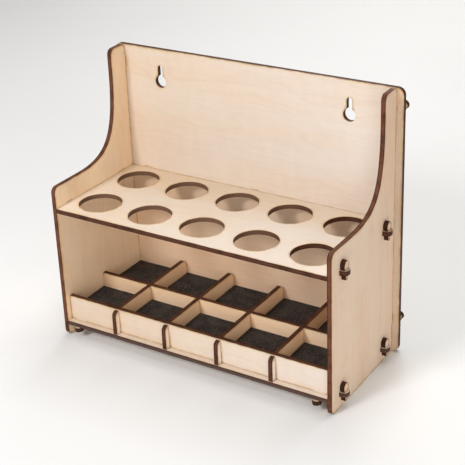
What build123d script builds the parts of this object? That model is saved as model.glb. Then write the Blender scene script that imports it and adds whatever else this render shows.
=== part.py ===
"""Laser-cut plywood workstation organizer.

Flat plywood sheets slot into one another and are locked by small push-in keys.  A shelf full
of round holes holds bottles and tools upright over a tray of foam-lined cells, between two
side panels whose front edge sweeps up to a tall back panel with two keyhole hangers.

Millimetres.  +X is to the right, +Y to the back and +Z up.  The origin is on the floor, in
the middle of the footprint.
"""
import os

from build123d import *

os.makedirs("parts", exist_ok=True)

# ---- sheet stock and fits ------------------------------------------------------------------
ply = 3.8                # thickness of every plywood sheet
slot_play = 0.1          # gap on each side of a tab, a key or a lap in its slot
corner_r = 5.0           # other rounded corners of the side panels and the cross dividers
back_corner_r = 6.0      # rounded corners of the back panel

# ---- grid of holes and cells ---------------------------------------------------------------
columns = 5
rows = 2
column_pitch = 50.0      # hole to hole, and divider to divider, across the width
row_pitch = 53.5         # hole to hole, front to back
hole_d = 36.0            # round holes of the bottle shelf

# ---- heights -------------------------------------------------------------------------------
leg = 10.5               # floor to the underside of the tray board
bay_height = 101.5       # tray board's top to the shelf's underside
back_rise = 111.0        # shelf's top to the top of the back panel
ledge_rise = 18.5        # shelf's top to the low front part of the side panels
wall_height = 22.0       # tray dividers above the tray board
pad_height = 10.0        # foam pads

# ---- side panel outline --------------------------------------------------------------------
ledge_depth = 35.0       # level stretch behind the front edge
wing_depth = 19.5        # tall part in front of the back panel
wing_straight = 20.0     # upright stretch at the top of the wing's front edge
wing_rear_r = 3.5        # wing's rounded top corner against the back panel
sweep_fullness = 0.77    # how far the sweep bulges into its corner (0.55 is near a circle)

# ---- back panel ----------------------------------------------------------------------------
back_overhang = 6.0      # back panel beyond the side panels, each side
keyhole_x = 89.0         # keyholes from the middle
keyhole_drop = 28.7      # back panel's top edge to the centre of the keyhole's round entry
keyhole_r = 5.4          # round entry for a screw head
keyhole_rise = 12.0      # from the entry's centre up to the slot's end centre
keyhole_slot_w = 4.8     # slot for the screw's neck

# ---- tray walls ----------------------------------------------------------------------------
strip_setback = 5.2      # board's front edge to the front strip's face
tongue_setback = 0.5     # board's front edge to the ends of the cross dividers' tongues
tongue_drop = 1.2        # tongues below the top of the front strip they stand against
tongue_r = 4.0           # rounded top corner of a tongue
divider_gap = 0.5        # cross dividers' rear ends to the back panel
pad_gap = 0.4            # foam pads to the walls around them
pad_corner_r = 1.0       # foam pads' upright edges

# ---- tabs and keys -------------------------------------------------------------------------
tab_w = 9.5              # width of every tab
tab_rounding = 0.45      # corner radius of a keyed tab, as a share of its width
tab_bridge = 2.2         # wood left beyond the key
tab_inset = 17.0         # middle of a shelf or board tab from the sheet's end
strip_tab_inset = 10.0   # middle of the front strip's foot tabs from its ends
upper_tab_drop = 15.0    # middle of the side panel's upper rear tab below its top
lower_tab_rise = 31.5    # middle of the side panel's lower rear tab above the floor
key_shank_w = 3.2        # key's shank, which fills the slot in the tab
key_head_w = 7.6         # key's thumb head, widest place
key_head_h = 8.4         # key's thumb head, as a full oval
key_head_seat = 3.1      # middle of the oval above the face it sits on
key_stub = 5.0           # shank beyond the tab
key_tip_r = 0.8          # eased tip of the shank
key_relief = 0.5         # key slot reaches this far inside the wall, so the key pulls tight

# ---- places worked out from the sizes above ------------------------------------------------
inner_w = columns * column_pitch
depth = rows * row_pitch
outer_x = inner_w / 2 + ply
tab_reach = ply + tab_bridge
head_reach = key_head_seat + key_head_h / 2

overall_y = max(head_reach - strip_setback, 0) + depth + ply + tab_reach
front_y = max(head_reach - strip_setback, 0) - overall_y / 2
back_y = front_y + depth
mid_y = front_y + depth / 2
strip_y = front_y + strip_setback
divider_y = mid_y - ply / 2
strip_mid_y = strip_y + ply / 2

board_z = leg
tray_z = board_z + ply
wall_top_z = tray_z + wall_height
shelf_z = tray_z + bay_height
shelf_top_z = shelf_z + ply
top_z = shelf_top_z + back_rise
ledge_z = shelf_top_z + ledge_rise
wing_y = back_y - wing_depth
sweep_end_z = top_z - wing_straight

side_tab_ys = (front_y + tab_inset, back_y - tab_inset)
rear_tab_xs = (tab_inset - inner_w / 2, 0, inner_w / 2 - tab_inset)
strip_tab_xs = (strip_tab_inset - inner_w / 2, inner_w / 2 - strip_tab_inset)
rear_tab_zs = (lower_tab_rise, top_z - upper_tab_drop)
cross_xs = [column_pitch * (i + 1) - inner_w / 2 for i in range(columns - 1)]

slot_t = ply + 2 * slot_play
slot_w = tab_w + 2 * slot_play
lap_depth = wall_height / 2 + slot_play

ways = ("right", "up", "left", "down")  # quarter turns in a sketch


def save(piece, node):
    """Label one finished piece and write its STEP file."""
    piece.part.label = node
    export_step(piece.part, f"parts/{node}.step")


def keyed_tab(root, way):
    """Add one long tab to the open sketch, from root the way it points, slotted for its key."""
    rounding = tab_rounding * tab_w
    with Locations(Location((*root, 0), (0, 0, 90 * ways.index(way)))):
        with Locations((-rounding, 0)):
            RectangleRounded(
                rounding + ply + tab_reach, tab_w, rounding, align=(Align.MIN, Align.CENTER)
            )
        with Locations((ply - key_relief, 0)):
            Rectangle(
                key_relief + ply + slot_play,
                key_shank_w + 2 * slot_play,
                align=(Align.MIN, Align.CENTER),
                mode=Mode.SUBTRACT,
            )


def tabbed_sheet():
    """Sketch a level sheet between the side panels, with all its tabs."""
    with Locations((0, mid_y)):
        Rectangle(inner_w, depth)
    for y in side_tab_ys:
        keyed_tab((-inner_w / 2, y), "left")
        keyed_tab((inner_w / 2, y), "right")
    with Locations(*[(x, back_y) for x in rear_tab_xs]):
        Rectangle(tab_w, 2 * ply)


def lap_slots(xs, edge, way):
    """Cut half-height slots into the open sketch, from its level edge the way they point."""
    with Locations(*[Location((x, edge, 0), (0, 0, 90 * ways.index(way))) for x in xs]):
        Rectangle(lap_depth, slot_t, align=(Align.MIN, Align.CENTER), mode=Mode.SUBTRACT)


def side_panel(x):
    """Make one side panel, with its left face at x."""
    reach = wing_y - (front_y + ledge_depth)
    climb = sweep_end_z - ledge_z
    ledge_end = (front_y + ledge_depth, ledge_z)
    wing_foot = (wing_y, sweep_end_z)
    with BuildPart() as panel:
        with BuildSketch(Plane.YZ.offset(x)):
            with BuildLine():
                Polyline(
                    wing_foot,
                    (wing_y, top_z),
                    (back_y, top_z),
                    (back_y, 0),
                    (front_y, 0),
                    (front_y, ledge_z),
                    ledge_end,
                )
                Bezier(
                    ledge_end,
                    (ledge_end[0] + sweep_fullness * reach, ledge_z),
                    (wing_y, sweep_end_z - sweep_fullness * climb),
                    wing_foot,
                )
            make_face()
            wing_rear = vertices().group_by(Axis.Y)[-1].sort_by(Axis.X)[-1]
            fillet(wing_rear, wing_rear_r)
            front_corners = vertices().group_by(Axis.X)[0]
            wing_front = vertices().group_by(Axis.Y)[-1].sort_by(Axis.X)[0]
            fillet([*front_corners, wing_front], corner_r)
            with Locations(*[(y, z + ply / 2) for y in side_tab_ys for z in (board_z, shelf_z)]):
                Rectangle(slot_w, slot_t, mode=Mode.SUBTRACT)
            for z in rear_tab_zs:
                keyed_tab((back_y, z), "right")
        extrude(amount=ply)
    return panel


def cross_divider(x):
    """Make one front-to-back divider about x, its tongue standing proud of the front strip."""
    front, rear = front_y + tongue_setback, back_y - divider_gap
    with BuildPart() as divider:
        with BuildSketch(Plane.YZ.offset(x - ply / 2)):
            with Locations((front, tray_z)):
                Rectangle(strip_mid_y - front, wall_height - tongue_drop, align=Align.MIN)
            with Locations((strip_mid_y, tray_z)):
                Rectangle(rear - strip_mid_y, wall_height, align=Align.MIN)
            fillet(vertices().group_by(Axis.X)[0].sort_by(Axis.Y)[-1], tongue_r)
            fillet(vertices().group_by(Axis.X)[-1].sort_by(Axis.Y)[-1], corner_r)
            lap_slots((strip_mid_y, mid_y), wall_top_z, "down")
        extrude(amount=ply)
    return divider


def foam_pad(left, right, front, rear):
    """Make the pad of one cell from the places of the four walls around it."""
    with BuildPart() as pad:
        with BuildSketch(Plane.XY.offset(tray_z)):
            with Locations(((left + right) / 2, (front + rear) / 2)):
                RectangleRounded(
                    right - left - 2 * pad_gap, rear - front - 2 * pad_gap, pad_corner_r
                )
        extrude(amount=pad_height)
    return pad


def wedge_key(seat, head_way, out_way):
    """Make one key: seat is where the tab's face meets the wall, out_way leads off the wall."""
    with BuildPart() as key:
        with BuildSketch(Plane(seat, x_dir=head_way.cross(out_way), z_dir=out_way)):
            with Locations((0, key_head_seat)):
                Ellipse(key_head_w / 2, key_head_h / 2)
            Rectangle(
                key_head_w, key_head_h, align=(Align.CENTER, Align.MAX), mode=Mode.SUBTRACT
            )
            with Locations((0, key_head_seat)):
                Rectangle(
                    key_shank_w,
                    key_head_seat + ply + key_stub,
                    align=(Align.CENTER, Align.MAX),
                )
            fillet(vertices().group_by(Axis.Y)[0], key_tip_r)
        extrude(amount=ply)
    return key


# ---- side panels ---------------------------------------------------------------------------
save(side_panel(-outer_x), "side_left")
save(side_panel(inner_w / 2), "side_right")

# ---- back panel ----------------------------------------------------------------------------
with BuildPart() as back_panel:
    with BuildSketch(Plane.XZ.offset(-back_y - ply)):
        with Locations((0, top_z / 2)):
            RectangleRounded(2 * (outer_x + back_overhang), top_z, back_corner_r)
        side_mid_x = outer_x - ply / 2
        with Locations(*[(x, z) for x in (-side_mid_x, side_mid_x) for z in rear_tab_zs]):
            Rectangle(slot_t, slot_w, mode=Mode.SUBTRACT)
        with Locations(*[(x, z + ply / 2) for x in rear_tab_xs for z in (board_z, shelf_z)]):
            Rectangle(slot_w, slot_t, mode=Mode.SUBTRACT)
        with Locations(*[(x, top_z - keyhole_drop) for x in (-keyhole_x, keyhole_x)]):
            Circle(keyhole_r, mode=Mode.SUBTRACT)
            SlotCenterPoint(
                (0, keyhole_rise / 2), (0, keyhole_rise), keyhole_slot_w, mode=Mode.SUBTRACT
            )
    extrude(amount=ply)
save(back_panel, "back_panel")

# ---- bottle shelf --------------------------------------------------------------------------
with BuildPart() as bottle_shelf:
    with BuildSketch(Plane.XY.offset(shelf_z)):
        tabbed_sheet()
        with Locations((0, mid_y)):
            with GridLocations(column_pitch, row_pitch, columns, rows):
                Circle(hole_d / 2, mode=Mode.SUBTRACT)
    extrude(amount=ply)
save(bottle_shelf, "bottle_shelf")

# ---- tray board ----------------------------------------------------------------------------
with BuildPart() as tray_board:
    with BuildSketch(Plane.XY.offset(board_z)):
        tabbed_sheet()
        with Locations(*[(x, strip_mid_y) for x in strip_tab_xs]):
            Rectangle(slot_w, slot_t, mode=Mode.SUBTRACT)
    extrude(amount=ply)
save(tray_board, "tray_board")

# ---- front strip ---------------------------------------------------------------------------
with BuildPart() as front_strip:
    with BuildSketch(Plane.XZ.offset(-strip_y - ply)):
        with Locations((0, tray_z)):
            Rectangle(inner_w, wall_height, align=(Align.CENTER, Align.MIN))
        lap_slots(cross_xs, tray_z, "up")
        for x in strip_tab_xs:
            keyed_tab((x, tray_z), "down")
    extrude(amount=ply)
save(front_strip, "front_strip")

# ---- long divider --------------------------------------------------------------------------
with BuildPart() as long_divider:
    with BuildSketch(Plane.XZ.offset(-divider_y - ply)):
        with Locations((0, tray_z)):
            Rectangle(inner_w, wall_height, align=(Align.CENTER, Align.MIN))
        lap_slots(cross_xs, tray_z, "up")
    extrude(amount=ply)
save(long_divider, "long_divider")

# ---- cross dividers ------------------------------------------------------------------------
for i, x in enumerate(cross_xs):
    save(cross_divider(x), f"cross_divider_{i + 1}")

# ---- foam pads -----------------------------------------------------------------------------
cell_lefts = [-inner_w / 2, *[x + ply / 2 for x in cross_xs]]
cell_rights = [*[x - ply / 2 for x in cross_xs], inner_w / 2]
for i, (left, right) in enumerate(zip(cell_lefts, cell_rights)):
    save(foam_pad(left, right, strip_y + ply, divider_y), f"pad_front_{i + 1}")
    save(foam_pad(left, right, divider_y + ply, back_y), f"pad_rear_{i + 1}")

# ---- keys ----------------------------------------------------------------------------------
ahead, upward = Vector(0, -1, 0), Vector(0, 0, 1)
for hand, outward in (("left", Vector(-1, 0, 0)), ("right", Vector(1, 0, 0))):
    wall_x = outward.X * outer_x
    for end, y in zip(("front", "rear"), side_tab_ys):
        save(wedge_key((wall_x, y, shelf_top_z), upward, outward), f"key_shelf_{hand}_{end}")
        save(wedge_key((wall_x, y, tray_z), upward, outward), f"key_tray_{hand}_{end}")
    for level, z in zip(("lower", "upper"), rear_tab_zs):
        save(wedge_key((wall_x, back_y + ply, z), outward, -ahead), f"key_back_{hand}_{level}")
    strip_tab_x = outward.X * (inner_w / 2 - strip_tab_inset)
    save(wedge_key((strip_tab_x, strip_y, board_z), ahead, -upward), f"key_strip_{hand}")
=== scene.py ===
"""Plywood workstation organizer: bare laser-cut sheets, push-in keys, foam pads and a studio."""

import math
from typing import NamedTuple

import bmesh
import bpy
from bpy.props import (
    FloatProperty,
    FloatVectorProperty,
    IntProperty,
    PointerProperty,
)
from bpy.types import Operator, Panel, PropertyGroup
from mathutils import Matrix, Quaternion, Vector, noise


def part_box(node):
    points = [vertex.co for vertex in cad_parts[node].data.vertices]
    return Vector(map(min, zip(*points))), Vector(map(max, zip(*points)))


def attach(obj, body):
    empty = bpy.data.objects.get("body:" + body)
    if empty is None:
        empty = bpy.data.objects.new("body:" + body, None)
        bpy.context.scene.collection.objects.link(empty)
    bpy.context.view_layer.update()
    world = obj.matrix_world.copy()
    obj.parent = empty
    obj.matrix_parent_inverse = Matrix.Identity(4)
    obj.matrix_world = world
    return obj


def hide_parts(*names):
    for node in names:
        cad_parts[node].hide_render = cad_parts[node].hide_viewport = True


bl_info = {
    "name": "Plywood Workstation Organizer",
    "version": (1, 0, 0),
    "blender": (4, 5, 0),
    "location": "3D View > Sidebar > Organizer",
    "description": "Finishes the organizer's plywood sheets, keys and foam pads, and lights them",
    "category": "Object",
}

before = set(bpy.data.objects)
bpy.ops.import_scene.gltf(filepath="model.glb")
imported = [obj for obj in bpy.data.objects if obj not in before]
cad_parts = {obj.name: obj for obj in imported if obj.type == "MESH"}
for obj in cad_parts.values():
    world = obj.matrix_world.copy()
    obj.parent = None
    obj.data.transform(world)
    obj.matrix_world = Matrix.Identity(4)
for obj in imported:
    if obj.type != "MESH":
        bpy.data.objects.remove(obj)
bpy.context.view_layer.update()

MM = 0.001  # metres
AXES = "XYZ"
BODY = "root"  # the one body, which every piece rides on
BLACK, WHITE = (0, 0, 0, 1), (1, 1, 1, 1)

side_low, side_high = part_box("side_right")
PLY = side_high.x - side_low.x  # thickness of every sheet
HALF_WIDTH = (side_low.x + side_high.x) / 2  # from the middle to a side panel's middle ply

# how a key lies: the axis its broad face looks along, and the axis its grain runs along
KEY_LIES = {"shelf": ("X", "Z"), "tray": ("X", "Z"), "back": ("Y", "X"), "strip": ("Z", "Y")}

# sizes of the veneer's features along the grain, across it and through it, in millimetres
BROAD_TONE = (140, 26, 40)
RING_WANDER = (105, 34, 40)
STREAK = (60, 2.2, 30)
FIBRE = (16, 0.55, 30)
PORE = (3.2, 0.32, 30)
FLAME = (9, 34, 30)

# sizes of the features of the burnt edge, the smoke, the foam and the floor, in the same way
BLOTCH = (9, 9, 9)
LASER_PULSE = (0.45, 0.45, 40)
SMOKE_DRIFT = (34, 34, 34)
FOAM_SPECK = (1.5, 1.5, 1.5)
FOAM_CLOUD = (12, 12, 12)
FLOOR_CLOUD = (400, 400, 400)

RING_SPACING = 11.5 * MM  # from one growth line of the veneer to the next
RING_SWAY = 75 * MM  # how far a growth line may stray across the grain
# the crease darkening is partly the burnt edge at a joint and partly painted shade in its gap
CREASE_REACH = 0.6 * MM  # how far the dark line beside a touching piece reaches
SHEET_BUMP = 0.06 * MM  # height of the veneer's and the burnt edge's relief
FOAM_BUMP = 0.25 * MM  # height of the foam's relief
FLOOR_REACH = 4000 * MM  # from the middle of the floor to its sides

# each seed moves the veneer's figure this far, so no two sheets look alike
FIGURE_SHIFT_ALONG = 370 * MM
FIGURE_SHIFT_ACROSS = 113 * MM
FIRST_CROSS_SEED = 6
FIRST_SIDE_SEED = 21
FIRST_KEY_SEED = 41

# waves per metre in the cut surface of a pad, and how far each seed moves them
COARSE_RIPPLE = 90
FINE_RIPPLE = 320
WAIST_RIPPLE = 60
RIPPLE_SHIFT_X = 3.1
RIPPLE_SHIFT_Y = 1.7

FACING = 0.7  # share of a normal along the face axis above which it belongs to the veneer
PARALLEL = 0.99  # share of an edge's direction along an axis above which it runs along it
PAD_SIDE = 0.98  # share of a pad's half width beyond which a point lies on its side

# sockets of the Mix node, whose names repeat for each kind of value
MIX_WEIGHT = 0
NUMBER_UNDER, NUMBER_OVER, MIXED_NUMBER = 2, 3, 0
COLOUR_UNDER, COLOUR_OVER, MIXED_COLOUR = 6, 7, 2


class SoftLight(NamedTuple):
    """One square soft light that faces the organizer."""

    name: str
    azimuth: float  # degrees to the right of the front
    elevation: float  # degrees above the floor
    distance: float  # metres from the place it faces
    size: float  # metres along each side
    power: float  # watts
    tint: tuple


LIGHTS_FACE = Vector((0, 0, 110 * MM))  # about the middle of the organizer

# strengths and tints began as a fit to measured colours and were then changed
LIGHTS = (
    SoftLight("key_light", -15, 35, 1.5, 0.34, 11.3, (1.0, 0.985, 1.0)),
    SoftLight("fill_light", 44, 13, 1.6, 0.8, 7.2, (1.0, 0.99, 0.97)),
    SoftLight("front_light", 0, 10, 1.8, 1.0, 1.7, (1.0, 0.99, 0.99)),
    SoftLight("top_light", 10, 80, 1.5, 1.0, 5.1, (1.0, 1.0, 0.91)),
    SoftLight("rear_light", 180, 65, 1.5, 0.8, 10.0, (1.0, 1.02, 1.03)),
    SoftLight("wall_light", 195, 22, 1.6, 0.9, 5.0, (1.0, 0.97, 0.93)),
)


# ---- settings ------------------------------------------------------------------------------
def colour(name, description, default, brightest=1.0):
    """Describe one colour setting."""
    return FloatVectorProperty(
        name=name,
        description=description,
        subtype="COLOR",
        size=3,
        min=0.0,
        max=brightest,
        default=default,
    )


def length(name, description, default):
    """Describe one length setting."""
    return FloatProperty(name=name, description=description, default=default, unit="LENGTH")


def angle(name, description, degrees):
    """Describe one angle setting."""
    return FloatProperty(
        name=name, description=description, default=math.radians(degrees), subtype="ANGLE"
    )


class ORGANIZER_PG_wood(PropertyGroup):
    """Colours and sizes of the bare plywood, and tints that paint light and shade onto it. The
    veneers' colours began as the lights did.
    """

    pale: colour("Pale veneer", "Lightest wood of the sheets", (0.73, 0.645, 0.57))
    warm: colour("Warm veneer", "Darker grain of the sheets", (0.66, 0.54, 0.436))
    wall_pale: colour("Pale wall veneer", "Lightest wood of the dividers", (0.95, 0.73, 0.52))
    wall_warm: colour("Warm wall veneer", "Darker grain of the dividers", (0.87, 0.61, 0.39))
    side_pale: colour(
        "Pale side veneer", "Lightest wood of the side panels and keys", (0.88, 0.68, 0.52)
    )
    side_warm: colour(
        "Warm side veneer", "Darker grain of the side panels and keys", (0.77, 0.545, 0.38)
    )
    # painted shade: the sheets darker and warmer towards the left
    leftward_shade: colour("Aged tint", "Tint of the sheets towards the left", (0.94, 0.885, 0.81))
    # painted light and shade: warm light low under the shelf, shade close under it
    bay_light_and_shade: colour("Sheltered tint", "Tint of the back panel under the shelf", (1.0, 0.87, 0.74))
    # painted shadow of the side panels on the back panel's overhangs
    outer: colour("Outer tint", "Tint of the back panel outside the sides", (0.93, 0.84, 0.75))
    # painted shade on the shelf towards the back panel
    shelf_rear_shade: colour("Mellow tint", "Tint of the shelf towards the back", (1.0, 0.96, 0.88))
    # painted light: the left side panel's inner face yellower than its outer face
    inner_face_light: colour(
        "Yellowed tint",
        "Tint of the left side panel's inner face",
        (1.03, 1.03, 0.9476),
        brightest=2.0,
    )
    # painted light on the tongues, which stand in the light in front of the strip
    tongue_light: colour(
        "Bleached tint",
        "Tint of the tongues in front of the strip",
        (1.0, 1.2, 1.55),
        brightest=2.0,
    )
    char: colour("Char", "Laser-burnt edge", (0.034, 0.011, 0.005))
    char_light: colour("Light char", "Paler stretches of the burnt edge", (0.096, 0.034, 0.017))
    # painted sheen on the walls of the shelf's holes
    hole_wall_sheen: colour("Seared", "Paler walls of the shelf's holes", (0.155, 0.082, 0.050))
    # painted sheen on the lower plies of the tray board's edge
    lower_ply_sheen: colour("Soot", "Greyer plies of the tray board's edge", (0.082, 0.056, 0.047))
    # a real smoke stain beside the cuts, also used as painted shade in the creases
    scorch_and_crease_shade: colour("Scorch", "Smoke stain beside a cut", (0.30, 0.165, 0.085))
    glow: colour("Glow", "Yellow tint of the wood where thin smoke went over it", (1.0, 0.90, 0.62))
    scorch_width: length(
        "Scorch width",
        "How far the smoke stain reaches from a cut, less than a sheet's thickness",
        3.5 * MM,
    )


class ORGANIZER_PG_foam(PropertyGroup):
    """Colours and sizes of the foam pads."""

    dark: colour("Foam", "Foam between the specks", (0.0085, 0.0065, 0.0060))
    speck: colour("Specks", "Cut cells that catch the light", (0.128, 0.096, 0.080))
    cell: length("Cell", "Size of the foam's cells", 0.5 * MM)
    rim: length("Rim", "Radius of a pad's upper edges and corners", 0.9 * MM)
    crown: length("Crown", "Rise of a pad's middle over its rim", 0.45 * MM)
    waist: length("Waist", "How far a pad's sides pull in", 0.35 * MM)
    ripple: length("Ripple", "Unevenness of the cut surface", 0.16 * MM)
    pitch: length("Mesh pitch", "Spacing of the pad's mesh", 1.2 * MM)
    seed: IntProperty(name="Seed", description="Start of the random ripples", default=7)


class ORGANIZER_PG_stage(PropertyGroup):
    """Camera, sky and floor. The camera comes from a fit to measured points."""

    azimuth: angle("Azimuth", "Camera's turn to the right of the front", 31.59)
    elevation: angle("Elevation", "Camera's height angle", 24.37)
    roll: angle("Roll", "Camera's tilt about its own axis", -1.82)
    distance: length("Distance", "Camera to its aim", 0.9806)
    lens: FloatProperty(name="Lens", description="Focal length in millimetres", default=93.75)
    aim: FloatVectorProperty(
        name="Aim",
        description="Point the camera looks at",
        default=(0.0167, 0.0200, 0.1328),
        subtype="TRANSLATION",
    )
    shift: FloatVectorProperty(
        name="Shift",
        description="Sideways and upward shift of the lens, as a share of the frame",
        default=(-0.043, -0.086),
        size=2,
    )
    floor: colour("Floor", "Pale floor", (0.82, 0.815, 0.81))
    sky: FloatProperty(name="Sky", description="Strength of the even light", default=0.27)
    sky_tint: colour("Sky tint", "Colour of the even light", (1.0, 0.98, 0.97))


# ---- shader helpers ------------------------------------------------------------------------
def add(tree, kind, sockets=None, **settings):
    """Add one shader node, set its properties and fill or link its input sockets."""
    made = tree.nodes.new("ShaderNode" + kind)
    for name, value in settings.items():
        setattr(made, name, value)
    for name, value in (sockets or {}).items():
        fill(tree, made.inputs[name], value)
    return made


def fill(tree, socket, value):
    """Link an output to an input socket, or give the socket a plain value."""
    if isinstance(value, bpy.types.NodeSocket):
        tree.links.new(value, socket)
    else:
        socket.default_value = value


def maths(tree, operation, first, second=0.0):
    """Add one Math node and return its output."""
    return add(tree, "Math", {0: first, 1: second}, operation=operation).outputs[0]


def spread(tree, value, low, high, to_low=0.0, to_high=1.0):
    """Remap a value smoothly from low..high to to_low..to_high, clamped at both ends."""
    sockets = {
        "Value": value,
        "From Min": low,
        "From Max": high,
        "To Min": to_low,
        "To Max": to_high,
    }
    return add(tree, "MapRange", sockets, interpolation_type="SMOOTHSTEP").outputs[0]


def blend(tree, weight, under, over, mode="MIX"):
    """Mix two colours by weight and return the result."""
    mixer = add(tree, "Mix", data_type="RGBA", blend_type=mode, clamp_factor=True)
    fill(tree, mixer.inputs[MIX_WEIGHT], weight)
    fill(tree, mixer.inputs[COLOUR_UNDER], under)
    fill(tree, mixer.inputs[COLOUR_OVER], over)
    return mixer.outputs[MIXED_COLOUR]


def lay(tree, under, over, mask, start, full, strength):
    """Lay one colour over another, by 0 where the mask is at start and by strength at full."""
    return blend(tree, spread(tree, mask, start, full, to_high=strength), under, over)


def rgba(colour_values, gain=1.0):
    """Give a colour setting as four channels, brighter or darker by gain."""
    return (*[channel * gain for channel in colour_values], 1.0)


def grain_noise(tree, place, size, detail=3.0, roughness=0.55):
    """Noise whose features are about size (along, across, through) in millimetres."""
    scale = [1 / (extent * MM) for extent in size]
    stretched = add(tree, "Mapping", {"Vector": place, "Scale": scale}).outputs[0]
    sockets = {"Vector": stretched, "Scale": 1.0, "Detail": detail, "Roughness": roughness}
    return add(tree, "TexNoise", sockets).outputs["Fac"]


def new_material(name):
    """Make an empty material with its shader. Returns the material, its tree and the shader."""
    made = bpy.data.materials.new(name)
    made.use_nodes = True
    tree = made.node_tree
    tree.nodes.clear()
    shader = add(tree, "BsdfPrincipled")
    add(tree, "OutputMaterial", {"Surface": shader.outputs[0]})
    return made, tree, shader


# ---- plywood -------------------------------------------------------------------------------
class Finish(NamedTuple):
    """What sets the finish of one plywood sheet apart from another's."""

    pale: tuple
    warm: tuple
    figure: float = 1.0  # strength of the streaks and fibres
    edge: float = 1.0  # brightness of the burnt edge
    smoke: float = 1.0  # strength of the smoke stain beside the cuts
    # the tints paint light or shade into the colour
    face_tints: tuple = ()  # functions that tint the veneer, in order
    edge_tints: tuple = ()  # functions that tint the burnt edge, in order


def sheet_place(tree, face, grain, shift):
    """Object coordinates turned so that x runs along the grain, and their plain parts."""
    across = (set(AXES) - {face, grain}).pop()
    place = add(tree, "TexCoord").outputs["Object"]
    parts = add(tree, "SeparateXYZ", {"Vector": place}).outputs
    turned_parts = {"X": parts[grain], "Y": parts[across], "Z": parts[face]}
    turned = add(tree, "CombineXYZ", turned_parts).outputs[0]
    return add(tree, "Mapping", {"Vector": turned, "Location": shift}).outputs[0], parts


def growth_lines(tree, place, tone):
    """Weight of the growth lines, which waver along the grain and are faint in pale wood."""
    wander = grain_noise(tree, place, RING_WANDER, detail=2.0)
    across = add(tree, "SeparateXYZ", {"Vector": place}).outputs["Y"]
    bent = maths(tree, "ADD", across, maths(tree, "MULTIPLY", wander, RING_SWAY))
    wave = maths(tree, "SINE", maths(tree, "MULTIPLY", bent, 2 * math.pi / RING_SPACING))
    depth = spread(tree, tone, 0.38, 0.62, to_low=0.05, to_high=0.29)
    return maths(tree, "MULTIPLY", spread(tree, wave, 0.25, 1.0), depth)


def veneer(tree, place, finish):
    """Sanded veneer: broad tone, growth lines, fibres and pores. Returns colour and height."""
    warm = finish.warm
    tone = grain_noise(tree, place, BROAD_TONE, detail=2.0)
    streak = grain_noise(tree, place, STREAK)
    fibre = grain_noise(tree, place, FIBRE, detail=4.0, roughness=0.65)
    pores = spread(tree, grain_noise(tree, place, PORE, detail=1.0), 0.66, 0.78)
    flame = grain_noise(tree, place, FLAME, detail=1.0)

    shade = lay(tree, rgba(finish.pale), rgba(warm, 1.12), tone, 0.35, 0.68, strength=0.65)
    shade = blend(tree, growth_lines(tree, place, tone), shade, rgba(warm))
    shade = lay(tree, shade, rgba(warm, 0.93), streak, 0.5, 0.75, strength=0.18 * finish.figure)
    shade = lay(tree, shade, rgba(warm, 0.82), fibre, 0.42, 0.72, strength=0.14 * finish.figure)
    shade = blend(tree, maths(tree, "MULTIPLY", pores, 0.32), shade, rgba(warm, 0.5))
    # painted sheen: the flame figure's faint lighter patches
    flame_sheen = spread(tree, flame, 0.35, 0.65, to_high=0.05)
    shade = blend(tree, flame_sheen, shade, WHITE, "SOFT_LIGHT")
    return shade, maths(tree, "SUBTRACT", fibre, maths(tree, "MULTIPLY", pores, 0.7))


def burnt_edge(tree, place, depth_in_sheet, gain):
    """Laser-cut edge: charred face plies over a browner core. Returns colour and height."""
    wood = bpy.context.scene.organizer_wood
    char, core = rgba(wood.char, gain), rgba(wood.char_light, gain)
    blotch = grain_noise(tree, place, BLOTCH)
    pulse = grain_noise(tree, place, LASER_PULSE, detail=2.0)
    from_middle = maths(tree, "ABSOLUTE", maths(tree, "SUBTRACT", depth_in_sheet, 0.5))
    waver = maths(tree, "MULTIPLY", maths(tree, "SUBTRACT", blotch, 0.5), 0.16)
    rim = spread(tree, maths(tree, "ADD", from_middle, waver), 0.24, 0.38)
    shade = blend(tree, rim, core, char)
    shade = lay(tree, shade, char, blotch, 0.45, 0.70, strength=0.8)
    shade = lay(tree, shade, rgba(core[:3], 1.4), pulse, 0.5, 0.8, strength=0.3)
    return shade, maths(tree, "SUBTRACT", pulse, maths(tree, "MULTIPLY", rim, 0.5))


def smoke_beside_cuts(tree, place, strength, veneer_colour):
    """Stain a veneer beside its cuts, with a wide yellow haze and a narrow brown scorch."""
    wood = bpy.context.scene.organizer_wood
    solid_round = add(
        tree,
        "AmbientOcclusion",
        {"Distance": wood.scorch_width},
        samples=8,
        inside=True,
        only_local=True,
    ).outputs["AO"]
    unevenness = grain_noise(tree, place, BLOTCH, detail=2.0)
    reach = spread(tree, unevenness, 0.3, 0.7, to_low=0.75, to_high=1.25)
    near_cut = maths(tree, "MULTIPLY", maths(tree, "SUBTRACT", 1.0, solid_round), reach)
    drift = grain_noise(tree, place, SMOKE_DRIFT, detail=1.0)
    haze = spread(tree, near_cut, 0.0, 0.42, to_high=0.8 * strength)
    haze = maths(tree, "MULTIPLY", haze, spread(tree, drift, 0.35, 0.65, to_low=0.25))
    shade = blend(tree, haze, veneer_colour, rgba(wood.glow), "MULTIPLY")
    return lay(tree, shade, rgba(wood.scorch_and_crease_shade), near_cut, 0.26, 0.58, strength=0.75 * strength)


def shade_creases(tree, veneer_colour):
    """Darken a veneer right where another piece meets it: partly the burnt edge at the joint,
    partly painted shade in the gap.
    """
    wood = bpy.context.scene.organizer_wood
    openness = add(
        tree, "AmbientOcclusion", {"Distance": CREASE_REACH}, samples=6, only_local=False
    ).outputs["AO"]
    return lay(tree, veneer_colour, rgba(wood.scorch_and_crease_shade), openness, 0.68, 0.42, strength=0.55)


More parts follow.
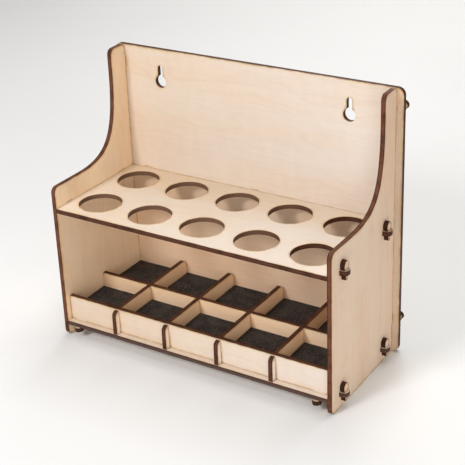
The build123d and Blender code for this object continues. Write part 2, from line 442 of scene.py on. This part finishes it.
def plywood(name, face, grain, low, seed, finish):
    """Bare plywood cut by laser, for a sheet whose lowest place along its face axis is low."""
    made, tree, shader = new_material(name)
    shift = Vector((FIGURE_SHIFT_ALONG * seed, FIGURE_SHIFT_ACROSS * seed, 0.0))
    place, parts = sheet_place(tree, face, grain, shift)
    depth_in_sheet = maths(tree, "DIVIDE", maths(tree, "SUBTRACT", parts[face], low), PLY)
    normal = add(tree, "TexCoord").outputs["Normal"]
    outwards = add(tree, "SeparateXYZ", {"Vector": normal}).outputs[face]
    on_face = maths(tree, "GREATER_THAN", maths(tree, "ABSOLUTE", outwards), FACING)

    face_colour, face_height = veneer(tree, place, finish)
    for tint in finish.face_tints:
        face_colour = tint(tree, parts, face_colour)
    face_colour = smoke_beside_cuts(tree, place, finish.smoke, face_colour)
    # painted shade where another piece meets the veneer, with the burnt edge at the joint
    face_colour = shade_creases(tree, face_colour)
    edge_colour, edge_height = burnt_edge(tree, place, depth_in_sheet, finish.edge)
    for tint in finish.edge_tints:
        edge_colour = tint(tree, parts, edge_colour)
    fill(tree, shader.inputs["Base Color"], blend(tree, on_face, edge_colour, face_colour))

    rough = spread(tree, on_face, 0.0, 1.0, to_low=0.52, to_high=0.62)
    rough = maths(tree, "ADD", rough, maths(tree, "MULTIPLY", face_height, 0.08))
    fill(tree, shader.inputs["Roughness"], rough)
    heights = {MIX_WEIGHT: on_face, NUMBER_UNDER: edge_height, NUMBER_OVER: face_height}
    height = add(tree, "Mix", heights, data_type="FLOAT").outputs[MIXED_NUMBER]
    bump = add(tree, "Bump", {"Strength": 0.35, "Distance": SHEET_BUMP, "Height": height})
    fill(tree, shader.inputs["Normal"], bump.outputs[0])
    shader.inputs["Specular IOR Level"].default_value = 0.12
    return made


def finish_sheet(node, face, grain, seed, finish):
    """Give one plywood node its material."""
    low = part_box(node)[0][AXES.index(face)]
    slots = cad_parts[node].data.materials
    slots.clear()
    slots.append(plywood(f"plywood_{node}", face, grain, low, seed, finish))


# ---- tints ---------------------------------------------------------------------------------
# each takes a material's tree, the plain coordinates and the colour under the tint; they were
# set by comparing measured colours, and each paints light or shade into the wood's colour
def shade_leftwards(tree, parts, under):
    """Paint shade onto a veneer, more and more towards the left."""
    wood = bpy.context.scene.organizer_wood
    leftwards = spread(tree, parts["X"], -HALF_WIDTH, HALF_WIDTH, to_low=1.0, to_high=0.0)
    return blend(tree, leftwards, under, rgba(wood.leftward_shade), "MULTIPLY")


def on_front_veneer(tree, parts):
    """Give 1 on the back panel's front half and 0 on its rear half."""
    low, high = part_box("back_panel")
    return maths(tree, "LESS_THAN", parts["Y"], (low.y + high.y) / 2)


def paint_bay_light_and_shade(tree, parts, under):
    """Paint warm light onto the back panel's front between the tray and the shelf, more towards the
    left, and paint shade on it near the shelf.
    """
    wood = bpy.context.scene.organizer_wood
    tray_top, shelf_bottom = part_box("tray_board")[1].z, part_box("bottle_shelf")[0].z
    rise = (shelf_bottom - 60 * MM, shelf_bottom - 20 * MM)
    # painted warm light low down and painted shade near the shelf, brighter towards the left
    tone = spread(tree, parts["Z"], *rise, to_low=1.22, to_high=0.92)
    leftwards = spread(tree, parts["X"], -HALF_WIDTH, 0.0, to_low=1.13, to_high=1.0)
    tone = maths(tree, "MULTIPLY", tone, leftwards)
    scaled = {"Vector": wood.bay_light_and_shade, "Scale": tone}
    tint = add(tree, "VectorMath", scaled, operation="SCALE").outputs[0]

    inside = maths(tree, "LESS_THAN", maths(tree, "ABSOLUTE", parts["X"]), HALF_WIDTH)
    inside = maths(tree, "MULTIPLY", inside, on_front_veneer(tree, parts))
    over_tray = spread(tree, parts["Z"], tray_top - 2 * MM, tray_top + 2 * MM)
    under_shelf = spread(
        tree, parts["Z"], shelf_bottom, shelf_bottom + PLY, to_low=1.0, to_high=0.0
    )
    weight = maths(tree, "MULTIPLY", inside, maths(tree, "MULTIPLY", over_tray, under_shelf))
    return blend(tree, weight, under, tint, "MULTIPLY")


def shade_overhangs(tree, parts, under):
    """Paint the side panels' shadow onto the back panel's front where it stands out past them."""
    wood = bpy.context.scene.organizer_wood
    outside = maths(tree, "GREATER_THAN", maths(tree, "ABSOLUTE", parts["X"]), HALF_WIDTH)
    weight = maths(tree, "MULTIPLY", outside, on_front_veneer(tree, parts))
    return blend(tree, weight, under, rgba(wood.outer), "MULTIPLY")


def shade_shelf_rear(tree, parts, under):
    """Paint shade onto the shelf from its middle towards the back."""
    wood = bpy.context.scene.organizer_wood
    low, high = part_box("bottle_shelf")
    start = (low.y + high.y) / 2 - 10 * MM
    weight = spread(tree, parts["Y"], start, high.y)
    return blend(tree, weight, under, rgba(wood.shelf_rear_shade), "MULTIPLY")


def sheen_hole_walls(tree, parts, under):
    """Paint sheen onto the walls of the shelf's holes, more towards the left."""
    wood = bpy.context.scene.organizer_wood
    low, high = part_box("bottle_shelf")
    border = 6 * MM
    rear_edge = high.y - PLY  # the tabs reach one sheet further
    after = maths(tree, "GREATER_THAN", parts["Y"], low.y + border)
    before = maths(tree, "LESS_THAN", parts["Y"], rear_edge - border)
    leftwards = spread(tree, parts["X"], 15 * MM, 85 * MM, to_low=1.0, to_high=0.0)
    weight = maths(tree, "MULTIPLY", leftwards, maths(tree, "MULTIPLY", after, before))
    return blend(tree, maths(tree, "MULTIPLY", weight, 0.85), under, rgba(wood.hole_wall_sheen))


def sheen_lower_plies(tree, parts, under):
    """Paint a greyer sheen onto the middle and lower plies of the tray board's edge."""
    wood = bpy.context.scene.organizer_wood
    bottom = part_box("tray_board")[0].z
    fade = (bottom + 0.55 * PLY, bottom + 0.78 * PLY)  # up to the top ply, which stays brown
    weight = spread(tree, parts["Z"], *fade, to_low=0.85, to_high=0.0)
    return blend(tree, weight, under, rgba(wood.lower_ply_sheen))


def light_tongues(tree, parts, under):
    """Paint light onto the cross dividers' tongues in front of the strip, paler and cooler than in
    the cells.
    """
    wood = bpy.context.scene.organizer_wood
    in_front = maths(tree, "LESS_THAN", parts["Y"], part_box("front_strip")[0].y)
    return blend(tree, in_front, under, rgba(wood.tongue_light), "MULTIPLY")


def light_inner_face(tree, parts, under):
    """Paint light onto the inner face of the left side panel, a little yellower than the rest."""
    wood = bpy.context.scene.organizer_wood
    left = maths(tree, "LESS_THAN", parts["X"], 0.0)
    inner = maths(tree, "GREATER_THAN", parts["X"], -HALF_WIDTH)
    weight = maths(tree, "MULTIPLY", left, inner)
    return blend(tree, weight, under, rgba(wood.inner_face_light), "MULTIPLY")


# ---- sheets and keys -----------------------------------------------------------------------
def pale_finish():
    """Finish of the pale sheets, with painted shade towards the left."""
    wood = bpy.context.scene.organizer_wood
    return Finish(wood.pale, wood.warm, face_tints=(shade_leftwards,))


class ORGANIZER_OT_back_panel(Operator):
    """Finish the tall back panel as pale plywood, with painted light and shade under the shelf,
    painted shade towards the left and painted shadow outside the sides
    """

    bl_idname = "organizer.back_panel"
    bl_label = "Finish Back Panel"

    def execute(self, context):
        tints = (shade_leftwards, paint_bay_light_and_shade, shade_overhangs)
        finish = pale_finish()._replace(face_tints=tints)
        finish_sheet("back_panel", face="Y", grain="X", seed=1, finish=finish)
        return {"FINISHED"}


class ORGANIZER_OT_shelf(Operator):
    """Finish the shelf as pale plywood, with painted sheen on its hole walls and painted shade
    towards the back and the left
    """

    bl_idname = "organizer.shelf"
    bl_label = "Finish Shelf"

    def execute(self, context):
        finish = pale_finish()._replace(
            edge=0.9, face_tints=(shade_leftwards, shade_shelf_rear), edge_tints=(sheen_hole_walls,)
        )
        finish_sheet("bottle_shelf", face="Z", grain="X", seed=2, finish=finish)
        return {"FINISHED"}


class ORGANIZER_OT_tray(Operator):
    """Finish the tray's board and strip as pale plywood and its dividers as yellower plywood, with
    painted shade towards the left, painted sheen on the board's edge and painted light on the
    tongues
    """

    bl_idname = "organizer.tray"
    bl_label = "Finish Tray"

    def execute(self, context):
        wood = context.scene.organizer_wood
        board = pale_finish()._replace(smoke=0.35, edge_tints=(sheen_lower_plies,))
        wall = Finish(
            wood.wall_pale, wood.wall_warm, figure=2.0, smoke=0.7, face_tints=(shade_leftwards,)
        )
        cross = wall._replace(face_tints=(shade_leftwards, light_tongues))
        finish_sheet("tray_board", face="Z", grain="X", seed=3, finish=board)
        finish_sheet("front_strip", face="Y", grain="X", seed=4, finish=pale_finish())
        finish_sheet("long_divider", face="Y", grain="X", seed=5, finish=wall)
        crosses = sorted(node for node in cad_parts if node.startswith("cross_divider_"))
        for seed, node in enumerate(crosses, start=FIRST_CROSS_SEED):
            finish_sheet(node, face="X", grain="Y", seed=seed, finish=cross)
        return {"FINISHED"}


class ORGANIZER_OT_sides(Operator):
    """Finish the side panels as plywood with upright grain, with painted light on the left one's
    inner face
    """

    bl_idname = "organizer.sides"
    bl_label = "Finish Side Panels"

    def execute(self, context):
        wood = context.scene.organizer_wood
        finish = Finish(
            wood.side_pale, wood.side_warm, edge=1.45, face_tints=(light_inner_face,)
        )
        sides = ("side_left", "side_right")
        for seed, node in enumerate(sides, start=FIRST_SIDE_SEED):
            finish_sheet(node, face="X", grain="Z", seed=seed, finish=finish)
        return {"FINISHED"}


class ORGANIZER_OT_keys(Operator):
    """Finish the fourteen keys as small plywood cut-outs with darker edges"""

    bl_idname = "organizer.keys"
    bl_label = "Finish Keys"

    def execute(self, context):
        wood = context.scene.organizer_wood
        finish = Finish(wood.side_pale, wood.side_warm, edge=0.6)
        keys = sorted(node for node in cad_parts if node.startswith("key_"))
        for seed, node in enumerate(keys, start=FIRST_KEY_SEED):
            face, grain = KEY_LIES[node.split("_")[1]]
            finish_sheet(node, face, grain, seed, finish)
        return {"FINISHED"}


# ---- foam pads -----------------------------------------------------------------------------
def foam_material():
    """Charcoal closed-cell foam: cut cells, light specks and a matte, slightly fuzzy surface."""
    foam = bpy.context.scene.organizer_foam
    made, tree, shader = new_material("charcoal_foam")
    place = add(tree, "TexCoord").outputs["Object"]
    cell_sockets = {"Vector": place, "Scale": 1 / foam.cell, "Randomness": 1.0}
    cells = add(tree, "TexVoronoi", cell_sockets, feature="F1").outputs["Distance"]
    specks = grain_noise(tree, place, FOAM_SPECK, roughness=0.7)
    cloud = grain_noise(tree, place, FOAM_CLOUD, detail=2.0)
    shade = lay(tree, rgba(foam.dark), rgba(foam.speck), specks, 0.47, 0.72, strength=0.8)
    shade = lay(tree, shade, BLACK, cells, 0.55, 0.2, strength=0.45)
    shade = lay(tree, shade, rgba(foam.speck, 0.7), cloud, 0.4, 0.65, strength=0.3)
    fill(tree, shader.inputs["Base Color"], shade)

    rough = spread(tree, cells, 0.0, 0.6, to_low=0.98, to_high=0.82)
    fill(tree, shader.inputs["Roughness"], rough)
    height = maths(tree, "ADD", cells, maths(tree, "MULTIPLY", specks, 0.5))
    bump = add(tree, "Bump", {"Strength": 0.8, "Distance": FOAM_BUMP, "Height": height})
    fill(tree, shader.inputs["Normal"], bump.outputs[0])
    shader.inputs["Specular IOR Level"].default_value = 0.15
    shader.inputs["Sheen Weight"].default_value = 0.05
    shader.inputs["Sheen Roughness"].default_value = 0.6
    return made


def pad_grid(low, high, pitch):
    """Make a closed block mesh from low to high with square faces about pitch wide."""
    size = high - low
    mesh = bmesh.new()
    bmesh.ops.create_cube(mesh, size=1.0)
    bmesh.ops.scale(mesh, vec=size, verts=mesh.verts)
    bmesh.ops.translate(mesh, vec=(low + high) / 2, verts=mesh.verts)
    for axis in range(3):
        cuts = max(3, round(size[axis] / pitch)) - 1
        along = [
            edge
            for edge in mesh.edges
            if abs((edge.verts[0].co - edge.verts[1].co).normalized()[axis]) > PARALLEL
        ]
        bmesh.ops.subdivide_edges(mesh, edges=along, cuts=cuts, use_grid_fill=True)
    return mesh


def round_rim(local, half, rim):
    """Pull a point of a block in to its rounded rim. The lower edges stay sharp."""
    core = Vector([max(-(h - rim), min(h - rim, c)) for h, c in zip(half, local)])
    if local.z < 0:
        core.z = local.z
    out = local - core
    return core + out.normalized() * rim if out.length > rim else local


def shape_pad(mesh, low, high, foam, seed):
    """Round, crown and ripple a block mesh into a cut foam pad that lies flat on its floor."""
    middle, half = (low + high) / 2, (high - low) / 2
    offset = Vector((seed * RIPPLE_SHIFT_X, seed * RIPPLE_SHIFT_Y, 0.0))
    for vert in mesh.verts:
        local = vert.co - middle
        ratio = Vector((local.x / half.x, local.y / half.y, local.z / half.z))
        height = (ratio.z + 1) / 2
        bulge = (1 - ratio.x**2) * (1 - ratio.y**2)
        rough = noise.noise((vert.co + offset) * COARSE_RIPPLE)
        rough += 0.5 * noise.noise((vert.co + offset) * FINE_RIPPLE)
        local = round_rim(local, half, foam.rim)
        pull = foam.waist * math.sin(math.pi * height)
        pull *= 0.6 + 0.4 * noise.noise(vert.co * WAIST_RIPPLE)
        if abs(ratio.x) > PAD_SIDE:
            local.x -= math.copysign(pull * (1 - ratio.y**2), ratio.x)
        if abs(ratio.y) > PAD_SIDE:
            local.y -= math.copysign(pull * (1 - ratio.x**2), ratio.y)
        local.z += height * (foam.crown * (bulge - 1) + foam.ripple * rough)
        vert.co = middle + local


class ORGANIZER_OT_foam_pads(Operator):
    """Model the ten foam pads in the tray's cells"""

    bl_idname = "organizer.foam_pads"
    bl_label = "Make Foam Pads"

    def execute(self, context):
        foam = context.scene.organizer_foam
        finish = foam_material()
        nodes = sorted(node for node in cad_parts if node.startswith("pad_"))
        for seed, node in enumerate(nodes, start=foam.seed):
            low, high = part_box(node)
            mesh = pad_grid(low, high, foam.pitch)
            shape_pad(mesh, low, high, foam, seed)
            data = bpy.data.meshes.new(f"foam_{node}")
            mesh.to_mesh(data)
            mesh.free()
            data.shade_smooth()
            data.materials.append(finish)
            pad = bpy.data.objects.new(f"foam_{node}", data)
            context.scene.collection.objects.link(pad)
            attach(pad, BODY)
            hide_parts(node)
        return {"FINISHED"}


# ---- stage ---------------------------------------------------------------------------------
def towards(azimuth, elevation):
    """Direction from the organizer to a place at that azimuth and elevation, in radians."""
    ahead = math.cos(elevation)
    return Vector(
        (math.sin(azimuth) * ahead, -math.cos(azimuth) * ahead, math.sin(elevation))
    )


def add_light(light):
    """Add one soft light that faces the organizer."""
    way = towards(math.radians(light.azimuth), math.radians(light.elevation))
    bpy.ops.object.light_add(
        type="AREA",
        location=LIGHTS_FACE + way * light.distance,
        rotation=way.to_track_quat("Z", "Y").to_euler(),
    )
    lamp = bpy.context.object
    lamp.name = light.name
    lamp.data.size = light.size
    lamp.data.energy = light.power
    lamp.data.color = light.tint


def floor_material():
    """Matte pale floor with a hardly visible cloudiness."""
    pale = bpy.context.scene.organizer_stage.floor
    made, tree, shader = new_material("pale_floor")
    cloud = grain_noise(tree, add(tree, "TexCoord").outputs["Object"], FLOOR_CLOUD)
    shade = lay(tree, rgba(pale), rgba(pale, 0.97), cloud, 0.3, 0.7, strength=1.0)
    fill(tree, shader.inputs["Base Color"], shade)
    shader.inputs["Roughness"].default_value = 0.7
    return made


def add_floor():
    """Add the pale floor, which isn't part of the organizer."""
    bpy.ops.mesh.primitive_plane_add(size=2 * FLOOR_REACH)
    floor = bpy.context.object
    floor.name = "floor"
    floor.data.materials.append(floor_material())


def add_sky(scene, stage):
    """Surround the scene with an even, dim light."""
    world = bpy.data.worlds.new("studio")
    world.use_nodes = True
    background = world.node_tree.nodes["Background"]
    background.inputs["Color"].default_value = rgba(stage.sky_tint)
    background.inputs["Strength"].default_value = stage.sky
    scene.world = world


def add_camera(scene, stage):
    """Add the camera at the front right, above the shelf."""
    way = towards(stage.azimuth, stage.elevation)
    turn = way.to_track_quat("Z", "Y") @ Quaternion((0, 0, 1), stage.roll)
    place = Vector(stage.aim) + way * stage.distance
    bpy.ops.object.camera_add(location=place, rotation=turn.to_euler())
    camera = bpy.context.object
    camera.name = "camera"
    camera.data.lens = stage.lens
    camera.data.shift_x, camera.data.shift_y = stage.shift
    scene.camera = camera


class ORGANIZER_OT_stage(Operator):
    """Add the pale floor, the soft studio lights and the camera"""

    bl_idname = "organizer.stage"
    bl_label = "Make Stage"

    def execute(self, context):
        scene, stage = context.scene, context.scene.organizer_stage
        add_floor()
        for light in LIGHTS:
            add_light(light)
        add_sky(scene, stage)
        add_camera(scene, stage)
        scene.view_settings.view_transform = "Standard"
        return {"FINISHED"}


# ---- add-on --------------------------------------------------------------------------------
SETTINGS = {
    "organizer_wood": ORGANIZER_PG_wood,
    "organizer_foam": ORGANIZER_PG_foam,
    "organizer_stage": ORGANIZER_PG_stage,
}
STEPS = (
    ORGANIZER_OT_back_panel,
    ORGANIZER_OT_shelf,
    ORGANIZER_OT_tray,
    ORGANIZER_OT_sides,
    ORGANIZER_OT_keys,
    ORGANIZER_OT_foam_pads,
    ORGANIZER_OT_stage,
)


class ORGANIZER_PT_panel(Panel):
    """Settings and steps of the organizer"""

    bl_idname = "ORGANIZER_PT_panel"
    bl_label = "Organizer"
    bl_space_type = "VIEW_3D"
    bl_region_type = "UI"
    bl_category = "Organizer"

    def draw(self, context):
        for group, kind in SETTINGS.items():
            box = self.layout.box()
            for name in kind.__annotations__:
                box.prop(getattr(context.scene, group), name)
        for step in STEPS:
            self.layout.operator(step.bl_idname)


def register():
    """Register the settings, the steps and the panel."""
    for kind in (*SETTINGS.values(), *STEPS, ORGANIZER_PT_panel):
        bpy.utils.register_class(kind)
    for name, kind in SETTINGS.items():
        setattr(bpy.types.Scene, name, PointerProperty(type=kind))


def unregister():
    """Take the settings, the steps and the panel away again."""
    for name in SETTINGS:
        delattr(bpy.types.Scene, name)
    for kind in reversed((*SETTINGS.values(), *STEPS, ORGANIZER_PT_panel)):
        bpy.utils.unregister_class(kind)


def main():
    """Register the add-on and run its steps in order."""
    register()
    bpy.ops.object.select_all(action="DESELECT")
    bpy.ops.organizer.back_panel()
    bpy.ops.organizer.shelf()
    bpy.ops.organizer.tray()
    bpy.ops.organizer.sides()
    bpy.ops.organizer.keys()
    bpy.ops.organizer.foam_pads()
    bpy.ops.organizer.stage()


if __name__ == "__main__":
    main()
